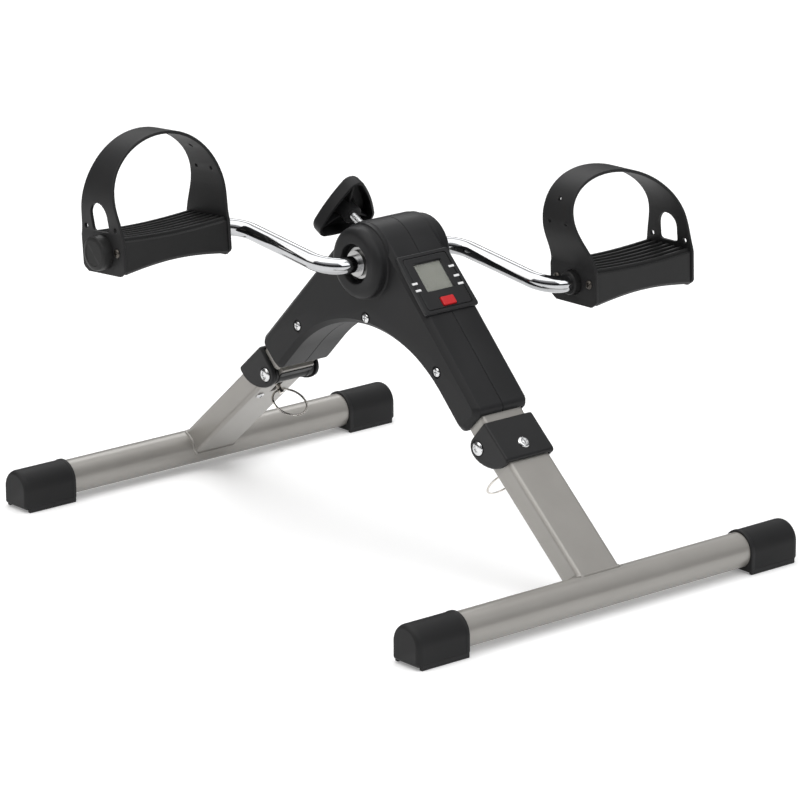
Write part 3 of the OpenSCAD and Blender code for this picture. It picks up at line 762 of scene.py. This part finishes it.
def clear_window():
    paint = Paint("clear_window")
    film = paint.noise(14.0, 2.0)
    return paint.finish(Base_Color=(0.93, 0.95, 0.92, 1), Roughness=film * 0.05 + 0.02,
                        Alpha=film * 0.04 + 0.08, Specular_IOR_Level=0.25)


def crystal_panel():
    """Grey-green panel with the fine cross-hatch of its polariser."""
    paint = Paint("crystal_panel")
    cloud = paint.noise(16.0, 1.0)
    hatch = paint.noise(0.30, 0.0, (1.0, 8.0, 8.0))
    return paint.finish(
        Base_Color=paint.blend(cloud * 0.7 + hatch * 0.3, (0.070, 0.072, 0.045), (0.100, 0.102, 0.066)),
        Roughness=hatch * 0.06 + 0.22, Normal=paint.bump(hatch, 0.002))


def solder_mask():
    paint = Paint("solder_mask")
    tracks = paint.noise(1.2, 1.0) > 0.55
    return paint.finish(Base_Color=paint.blend(tracks, (0.01, 0.10, 0.03), (0.02, 0.20, 0.06)),
                        Roughness=0.35, Normal=paint.bump(tracks, 0.03))


def bar_print():
    paint = Paint("bar_print")
    ink = paint.noise(0.25, 2.0)
    return paint.finish(Base_Color=paint.blend(ink, (0.62, 0.62, 0.62), (0.85, 0.85, 0.85)),
                        Roughness=ink * 0.15 + 0.5)


def button_red():
    paint = Paint("button_red")
    fine = paint.noise(0.5, 2.0)
    return paint.finish(Base_Color=paint.blend(fine, (0.42, 0.008, 0.011), (0.60, 0.018, 0.022)),
                        Roughness=fine * 0.1 + 0.32, Specular_IOR_Level=0.4, Normal=paint.bump(fine, 0.008))


lens = tapered(15.0, 15.0, 24.0, 52.0, 1.0)
lens_stations = eased(CON_LOW - 0.4, CON_LOW + 0.25, 0.1, 0.15, 2)
piece("console_window_lens", along_z(lens, lens_stations), clear_window(), "frame",
      ["console_window"], on_arm(-1))
panel = tapered(14.5, 14.5, 24.5, 51.5, 0.4, 2)
panel_stations = eased(CON_LOW - 1.8, CON_LOW - 0.45, 0.1, 0.1, 2)
piece("console_display_panel", along_z(panel, panel_stations), crystal_panel(), "frame",
      ["console_display"], on_arm(-1))
dress(solder_mask(), "console_board")
dress(bar_print(), "console_marks")
dress(console_black, "speed_sensor")
key = tapered(6.2, 6.2, 57.1, 64.4, 0.9)
key_stations = [(CON_LOW - 1.5, 0.0), (CON_TOP + 0.6, 0.0), (CON_TOP + 1.05, 0.18), (CON_TOP + 1.3, 0.7)]
piece("reset_button_cap", along_z(key, key_stations), button_red(), "button",
      ["reset_button"], on_arm(-1))


# ----------------------------------------------------
# Pedals: a ribbed moulded body that turns on the rod's end in two bushes, with
# a wide soft strap screwed to both ends and a cap over the outer bearing.
# ----------------------------------------------------
pedal_black = moulded("pedal_black", (0.0085, 0.0085, 0.0085), (0.024, 0.024, 0.024), 0.40, 0.45, 0.015, 0.2)
strap_black = moulded("strap_black", (0.010, 0.010, 0.0105), (0.024, 0.024, 0.0245), 0.46, 0.9, 0.012, 0.2)
PEDAL_X, PEDAL_LEN, PEDAL_LOW, PEDAL_TOP, PEDAL_HALF = 100.0, 100.0, -15.5, 10.5, 24.5
STRAP_T, STRAP_H, BULGE_FROM = 2.5, 84.0, 13.3
STRAP_FORM = {"left": (2.0, 36.0, 0.0), "right": (4.5, 42.0, 26.0)}
TILT = {"left": -4.5, "right": -1.5}
STRAP_SCREWS = [(k * 18.0, 1.0) for k in (-1, 1)]
RIB_PITCH, RIB_HALF = 7.0, [(0.8, 2.4), (1.35, 1.9), (1.55, 0.5), (1.9, 0.0)]


def ribbed_section():
    """Section (y, z) of the pedal with seven rounded ribs on its tread."""
    low, top = PEDAL_LOW, PEDAL_TOP
    skirt = [(-PEDAL_HALF + 1.5, low), (PEDAL_HALF - 1.5, low), (PEDAL_HALF, low + 2),
             (PEDAL_HALF, top - 1), (PEDAL_HALF - 1, top)]
    tread = []
    for i in range(3, -4, -1):
        tread += [(RIB_PITCH * i + y, top + z) for y, z in RIB_HALF[::-1] + [(-y, z) for y, z in RIB_HALF]]
    return skirt + tread + [(-PEDAL_HALF + 1, top), (-PEDAL_HALF, top - 1), (-PEDAL_HALF, low + 2)]


def waist(x, depth):
    """How far a face has drawn in at x, from nothing at each end to depth at mid length."""
    return depth * math.sin(math.pi * min(1.0, max(0.0, x / PEDAL_LEN)))


def pedal_ring(x, scale):
    """The ribbed section at x, its tread sagging and its skirt arching a little."""
    ring = []
    for y, z in ribbed_section():
        drop = -waist(x, 2.2) if z > 0 else waist(x, 4.6)
        ring.append((x, y * scale, (z + drop) * scale))
    return ring


pedal_stations = [(STRAP_T + 0.05, 0.985), (STRAP_T + 0.6, 1.0)]
pedal_stations += [(x, 1.0) for x in (10, 18, 26, 34, 42, 50, 58, 66, 74, 82, 90)]
pedal_stations += [(PEDAL_LEN - STRAP_T - 0.6, 1.0), (PEDAL_LEN - STRAP_T - 0.05, 0.985)]
pedal = worked(
    loft([pedal_ring(x, scale) for x, scale in pedal_stations]),
    cut=[block(8, PEDAL_LEN - 8, y - 5.6, y + 5.6, PEDAL_LOW - 2, PEDAL_TOP - 5, 0.5) for y in (-17, 17)]
    + [block(16, PEDAL_LEN - 16, -8.5, 8.5, PEDAL_LOW - 2, -9.0, 0.5)]
    + [lathe([(-1.0, 9.05), (14.0, 9.05)], 40), lathe([(PEDAL_LEN - 14, 9.05), (PEDAL_LEN + 1, 9.05)], 40),
       lathe([(2.0, 6.8), (PEDAL_LEN - 2, 6.8)], 40)])

STRAP_WIDTHS = [(-16.5, 20.0), (-13.5, 24.6), (-11.5, 25.9), (10.5, 25.9), (14.0, 25.0), (24.0, 23.0),
                (38.0, 20.0), (50.0, 17.4), (62.0, 15.4), (74.0, 14.4), (90.0, 14.0)]


def strap_width(z):
    for (z0, w0), (z1, w1) in zip(STRAP_WIDTHS, STRAP_WIDTHS[1:]):
        if z <= z1:
            return w0 + (w1 - w0) * max(0.0, (z - z0) / (z1 - z0))
    return STRAP_WIDTHS[-1][1]


def strap_line(bulge, bulge_z, lean):
    """Middle line (x, z) of the band: up the inner end, over the foot, down the outer end."""
    mid = STRAP_T / 2
    rise = [(mid, z) for z in (-16.5, -16.1, -15.0, -13.5, -11.5, 10.5)]
    for i in range(15):
        f = i / 14
        rise.append((mid - bulge * f * f * (3 - 2 * f), BULGE_FROM + (bulge_z - BULGE_FROM) * f))
    half_span, height = PEDAL_LEN / 2 + bulge - mid, STRAP_H - bulge_z - mid
    top = [(PEDAL_LEN / 2 + half_span * math.cos(t), bulge_z + height * math.sin(t))
           for t in [math.radians(180 - 5 * i) for i in range(1, 36)]]
    whole = rise + top + [(PEDAL_LEN - x, z) for x, z in rise[::-1]]
    return [(x - lean * (max(0.0, z - BULGE_FROM) / (STRAP_H - BULGE_FROM)) ** 1.3, z) for x, z in whole]


def strap_ring(x, z, lean, width):
    """Rounded section of the band, square to its line."""
    across_band = rounded([(-width, -STRAP_T / 2, 0.9), (width, -STRAP_T / 2, 0.9),
                           (width, STRAP_T / 2, 0.9), (-width, STRAP_T / 2, 0.9)], 3)
    return [(x - math.sin(lean) * b, a, z + math.cos(lean) * b) for a, b in across_band]


window = arc(0, 27, 10.2, 0, 180, 12) + arc(-7.2, 18.2, 3, 180, 270, 4) + arc(7.2, 18.2, 3, 270, 360, 4)


def strap_band(form):
    """The band bent to its line, with its window, axle holes and adjusting holes."""
    line = strap_line(*form)
    band = []
    for i, (x, z) in enumerate(line):
        x0, z0 = line[max(0, i - 1)]
        x1, z1 = line[min(len(line) - 1, i + 1)]
        band.append(strap_ring(x, z, math.atan2(z1 - z0, x1 - x0), strap_width(z)))
    window_tool = loft([[(x, y, z) for y, z in window] for x in (PEDAL_LEN - 18, PEDAL_LEN + 24)])
    low_holes = [moved(lathe([(-8.0, 2.2), (12.0, 2.2)], 20), shift(PEDAL_LEN, k * 18, 18))
                 for k in (-1, 1)]
    high_holes = [moved(lathe([(-30.0, 1.7), (24.0, 1.7)], 20), shift(0, y, z))
                  for y, z in ((-9, 48), (9, 48), (0, 66))]
    axle_holes = [lathe([(-1.0, 9.6), (5.0, 9.6)], 40),
                  lathe([(PEDAL_LEN - 5, 7.4), (PEDAL_LEN + 1, 7.4)], 32)]
    return worked(loft(band), cut=[window_tool] + axle_holes + low_holes + high_holes)


oxide = turned_steel("black_oxide", (0.115, 0.105, 0.095), 0.28, 0.12, 0.25)
strap_head = pan_head(3.4, 1.6, 1.1, 2.0, 0.7)
small_screw = together(moved(strap_head, handed(-1)), lathe([(-0.2, 1.8), (9.0, 1.7), (9.8, 0.3)], 20))
pedal_screws = [moved(small_screw, shift(0.0, y, z)) for y, z in STRAP_SCREWS]
pedal_screws += [moved(small_screw, shift(PEDAL_LEN, y, z) @ handed(-1)) for y, z in STRAP_SCREWS]
cap = lathe([(7.4, 0.1), (7.4, 10.6), (6.6, 11.2), (0.05, 11.2), (0.05, 12.9), (0.35, 13.2), (7.0, 13.0),
             (8.2, 12.5), (8.8, 11.4), (9.0, 10.0), (9.0, 9.4), (8.7, 9.1), (8.7, 0.1)], 56)
inner_bush = lathe([(-5.5, 6.6), (-5.5, 8.4), (-4.9, 9.0), (13.9, 9.0), (13.9, 6.6)], 48)
outer_bush = moved(lathe([(-14.0, 6.6), (-14.0, 9.0), (-2.6, 9.0), (-2.6, 6.6)], 48), shift(PEDAL_LEN, 0, 0))
cap = moved(cap, shift(PEDAL_LEN, 0, 0))
for hand, side in HANDS:
    axle = Vector(joints[f"pedal_{hand}_spin"]["pos_m"]) * MM
    place = (handed(side) @ shift(0, axle.y, axle.z) @ spun(math.radians(TILT[hand]), "X")
             @ shift(PEDAL_X, 0, 0))
    body = f"pedal_{hand}"
    piece(f"pedal_body_{hand}_ribbed", pedal, pedal_black, body,
          [f"pedal_body_{hand}"], place)
    piece(f"pedal_strap_{hand}_band", strap_band(STRAP_FORM[hand]), strap_black, body,
          [f"pedal_strap_{hand}"], place, 40.0)
    piece(f"strap_screws_{hand}_heads", together(*pedal_screws), oxide, body,
          [f"strap_screws_{hand}"], place)
    piece(f"pedal_cap_{hand}_turned", cap, pedal_black, body, [f"pedal_cap_{hand}"], place)
    piece(f"pedal_bushes_{hand}_collared", together(inner_bush, outer_bush), pedal_black,
          body, [f"pedal_bushes_{hand}"], place)


# ----------------------------------------------------
# Legs: rectangular tube cut to sit on a round foot tube and welded to it, both
# in the frame's silver enamel, with a soft cap on each end of the foot.
# ----------------------------------------------------
FOOT_R, FOOT_LEN = 13.4, 370.0
LEG_START, TUBE_WALL = 12.0, 1.5
cap_low, cap_high = (Vector(c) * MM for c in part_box("foot_cap_rear_right"))
FOOT_Y, FOOT_Z = (cap_low.y + cap_high.y) / 2, cap_high.z - (cap_high.y - cap_low.y) / 2
foot_on_leg = Matrix.Rotation(LEG_SLOPE, 3, "X") @ (Vector((0, FOOT_Y, FOOT_Z)) - pin)
FOOT_U, FOOT_V = foot_on_leg.y, foot_on_leg.z


def saddle(v, sunk):
    """How far down the leg the foot tube's surface lies at height v."""
    radius = FOOT_R - sunk
    return FOOT_U - math.sqrt(max(0.0, radius ** 2 - (v - FOOT_V) ** 2))


def fine_outline(outline, step=1.5):
    """The same outline with points added so that no stretch is longer than step."""
    dense = []
    for i, point in enumerate(outline):
        a, b = Vector(point), Vector(outline[(i + 1) % len(outline)])
        count = max(1, int((b - a).length / step))
        dense += [tuple(a.lerp(b, k / count)) for k in range(count)]
    return dense


outer = fine_outline(tube_outline(TUBE_LOW))
inner = inset(outer, TUBE_WALL)
STEM_U, STEM_SLOT = 21.0, (15.8, 30.5)
leg = worked(
    loft([[(x, FOOT_U - FOOT_R - 2, v) for v, x in inner], [(x, LEG_START, v) for v, x in inner],
          [(x, LEG_START - 0.3, v) for v, x in inset(outer, TUBE_WALL / 2)],
          [(x, LEG_START, v) for v, x in outer],
          [(x, saddle(v, 0.5), v) for v, x in outer]]),
    cut=[block(-2.4, 2.4, STEM_SLOT[0], STEM_SLOT[1], TUBE_LOW - 1, 0.2, 0.3)])


def weld_bead(outline, width=1.3, sides=8):
    """A rippled bead of weld round the leg where it meets the foot."""
    rings = []
    for i, (v, x) in enumerate(outline):
        here = Vector((x, saddle(v, 0.0), v))
        v1, x1 = outline[(i + 1) % len(outline)]
        ahead = (Vector((x1, saddle(v1, 0.0), v1)) - here).normalized()
        out = Vector((0, -1, 0))
        flank = ahead.cross(out).normalized()
        radius = width * (1.0 + 0.12 * math.sin(2.4 * i))
        rings.append([tuple(here + (out * math.cos(t) + flank * math.sin(t)) * radius)
                      for t in [math.tau * k / sides for k in range(sides)]])
    return loft(rings + [rings[0]], ends=False)


foot = lathe([(-FOOT_LEN / 2 + 2.5, 0.1), (-FOOT_LEN / 2 + 2.5, FOOT_R), (FOOT_LEN / 2 - 2.5, FOOT_R),
              (FOOT_LEN / 2 - 2.5, 0.1)], 96)
CAP_LEN, CAP_HALF, CAP_LOW, CAP_ROUND = 48.0, 15.3, 1.2, 5.0
cap_black = moulded("cap_black", (0.0085, 0.0085, 0.009), (0.023, 0.023, 0.0235), 0.48, 0.8, 0.03, 0.2)


def cap_outline():
    """Section (y, z) of a foot cap about the tube's axis: round above, straight sides, flat sole."""
    sole = CAP_LOW - FOOT_Z
    left = arc(-CAP_HALF + 4, sole + 4, 4, 180, 270, 5)
    right = arc(CAP_HALF - 4, sole + 4, 4, 270, 360, 5)
    return arc(0, 0, CAP_HALF, 0, 180, 28) + left + right


cap_near, cap_end = FOOT_LEN / 2 - CAP_LEN, FOOT_LEN / 2
cap_stations = [(cap_near, 1.4), (cap_near + 0.2, 0.5), (cap_near + 0.7, 0.05), (cap_near + 2.6, 0.0),
                (cap_near + 3.2, 0.35), (cap_near + 4.0, 0.45), (cap_end - CAP_ROUND, 0.35)]
cap_stations += [(cap_end - CAP_ROUND * (1 - math.sin(t)), 0.35 + 3.4 * (1 - math.cos(t)))
                 for t in [math.radians(15 * k) for k in range(1, 7)]]
foot_cap = worked(
    along_x(cap_outline(), cap_stations),
    cut=[lathe([(cap_near - 2, FOOT_R + 0.1), (cap_near + 8, FOOT_R + 0.1)], 64)])
runner = [block(cap_near + 0.5, cap_end - 3.5, y, y + 3, -FOOT_Z, CAP_LOW - FOOT_Z + 3.0, 0.5)
          for y in (-CAP_HALF + 0.4, CAP_HALF - 3.4)]

for end, side in SIDES:
    body = f"leg_{end}"
    at_foot = across(side) @ shift(0, FOOT_Y, FOOT_Z)
    piece(f"leg_tube_{end}_enamelled", together(leg, weld_bead(outer)), silver, body,
          [f"leg_tube_{end}"], on_leg(side))
    piece(f"foot_tube_{end}_enamelled", foot, silver, body, [f"foot_tube_{end}"], at_foot)
    for hand, flip in HANDS:
        piece(f"foot_cap_{end}_{hand}_soft", together(foot_cap, *runner), cap_black, body,
              [f"foot_cap_{end}_{hand}"], at_foot @ handed(flip))


# ----------------------------------------------------
# Hinges: a steel bracket in each leg takes the hinge bolt through the frame's
# knuckle, under a moulded cover. A sleeve of black plastic turns on the knuckle.
# ----------------------------------------------------
def phosphate():
    paint = Paint("phosphate_coat")
    grain = paint.noise(0.4, 3.0)
    return paint.finish(Base_Color=paint.blend(grain, (0.018, 0.018, 0.018), (0.045, 0.045, 0.045)),
                        Metallic=0.6, Roughness=grain * 0.15 + 0.42, Normal=paint.bump(grain, 0.01))


bracket_black = phosphate()
cover_black = moulded("cover_black", (0.0085, 0.0085, 0.009), (0.023, 0.023, 0.0235), 0.36, 0.5, 0.014, 0.24)
COVER_IN, COVER_T, COVER_TOP, COVER_R, COVER_SCREW_U = 20.2, 3.0, 20.6, 9.4, 14.5
cheek = arc(0, 0, COVER_R, 180, 268, 9) + [(4.0, -8.9), (8.0, -7.6), (12.0, -5.5), (16.0, -2.7), (19.5, 0.6),
                                          (22.4, 4.2), (24.6, 8.2), (25.9, 12.2)]
cheek += arc(23.6, COVER_TOP - 2.8, 2.8, 0, 90, 5) + arc(-7.2, COVER_TOP - 2.0, 2.0, 90, 180, 4)
cover_out = COVER_IN + COVER_T
cover = worked(
    along_x(cheek, eased(-cover_out, cover_out, 1.6, 1.6, 4)),
    cut=[block(-COVER_IN, COVER_IN, -30, 30, -30, COVER_TOP - 2.5, 0.4)]
    + [moved(lathe([(cover_out - 0.8, 6.4), (30.0, 6.4)], 32), handed(k)) for k in (-1, 1)])

head_profile = [(-0.9, 0.1), (-0.9, 5.5), (0.1, 5.6), (0.7, 5.3), (1.3, 4.5), (1.7, 3.2), (1.8, 2.6),
                (0.9, 2.3), (0.8, 0.1)]
bolt_head = lathe([(cover_out + x, r) for x, r in head_profile], 40)
bolt_shank = lathe([(-cover_out, 3.95), (cover_out, 3.95)], 40)
bolt = together(bolt_shank, bolt_head, moved(bolt_head, handed(-1)))
rivet_profile = [(-0.1, 0.1), (-0.1, 4.6), (0.5, 4.7), (1.2, 4.2), (1.55, 3.3), (1.5, 2.7), (0.9, 2.4),
                 (0.9, 1.3), (1.2, 0.9), (1.25, 0.1)]
rivet_head = lathe([(COVER_TOP + x, r) for x, r in rivet_profile], 40)
rivet_shank = lathe([(10.0, 2.0), (COVER_TOP, 2.0)], 24)
rivet = moved(together(rivet_shank, rivet_head), shift(0, COVER_SCREW_U, 0) @ to_knob)
SLEEVE_R, SLEEVE_HALF = 7.95, KNUCKLE_HALF - 0.1
sleeve_half = [(SLEEVE_HALF - 2.4, SLEEVE_R), (SLEEVE_HALF - 2.1, SLEEVE_R + 0.5),
               (SLEEVE_HALF, SLEEVE_R + 0.5), (SLEEVE_HALF, 7.55)]
sleeve = worked(lathe([(-x, r) for x, r in sleeve_half[::-1]] + sleeve_half), cut=[latch_hole])
sleeve_skirt = block(-SLEEVE_HALF, SLEEVE_HALF, -9.0, -2.0, -6.9, 6.9, 0.8)
for end, side in SIDES:
    body = f"leg_{end}"
    piece(f"hinge_cover_{end}_moulded", cover, cover_black, body,
          [f"hinge_cover_{end}"], on_leg(side), 30.0)
    piece(f"hinge_bolt_{end}_headed", bolt, nickel, body,
          [f"hinge_bolt_{end}"], on_leg(side))
    piece(f"cover_screw_{end}_headed", rivet, nickel, body,
          [f"cover_screw_{end}"], on_leg(side))
    piece(f"knuckle_sleeve_{end}", together(sleeve, sleeve_skirt), cover_black, "frame", (),
          on_arm(side) @ shift(0, PIN_T, PIN_N))
    dress(bracket_black, f"hinge_bracket_{end}", f"latch_guide_{end}")


# ----------------------------------------------------
# Latches: a spring bolt slides down each leg to lock its hinge. A split ring
# through the bolt's stem draws it back. Two small screws hold its guide.
# ----------------------------------------------------
def nickel_wire():
    paint = Paint("nickel_wire")
    haze = paint.noise(2.0, 2.0)
    return paint.finish(Base_Color=paint.blend(haze, (0.60, 0.565, 0.52), (0.80, 0.77, 0.73)), Metallic=1.0,
                        Roughness=haze * 0.1 + 0.12, Normal=paint.bump(haze, 0.002))


wire = nickel_wire()
RING_R, WIRE_PITCH, EYE_V = 14.0, 0.95, -7.0
GUIDE_SCREW_X, GUIDE_SCREW_U = 11.0, 33.0
RING_LEAN = {"front": 1.0, "rear": -17.0}


def split_ring(turns=1.92, sides=10, steps=84):
    """Two close turns of half-round wire, flat where the turns meet."""
    rings = []
    for i in range(steps + 1):
        a = math.tau * turns * i / steps - math.pi / 2
        drift = WIRE_PITCH * (i / steps - 0.5)
        taper = min(1.0, 0.35 + 0.65 * min(i, steps - i) / 3)
        ring = []
        for k in range(sides):
            t = math.tau * k / sides
            r = RING_R + 0.85 * math.cos(t) * taper
            ring.append((r * math.cos(a), drift + 0.45 * math.sin(t) * taper, r * math.sin(a)))
        rings.append(ring)
    return loft(rings)


latch_head = moved(moved(pan_head(3.4, 1.7, 1.1, 2.0, 0.7), spun(math.pi / 2, "Y")),
                   shift(0, GUIDE_SCREW_U, TUBE_LOW - 0.05))
latch_shank = moved(lathe([(TUBE_LOW - 0.2, 1.8), (4.0, 1.7)], 16), to_knob)
for end, side in SIDES:
    both = (-GUIDE_SCREW_X, GUIDE_SCREW_X)
    guides = [moved(latch_head, shift(x, 0, 0)) for x in both]
    guides += [moved(latch_shank, shift(x, GUIDE_SCREW_U, 0)) for x in both]
    piece(f"latch_screws_{end}_heads", together(*guides), nickel, f"leg_{end}",
          [f"latch_screws_{end}"], on_leg(side))
    dress(wire, f"latch_pin_{end}")
    at_ring = (on_leg(side) @ shift(0, STEM_U, EYE_V) @ spun(math.radians(RING_LEAN[end]), "X")
               @ shift(0, 0, -RING_R))
    piece(f"pull_ring_{end}_split", split_ring(), wire, f"ring_{end}",
          [f"pull_ring_{end}"], at_ring, 60.0)
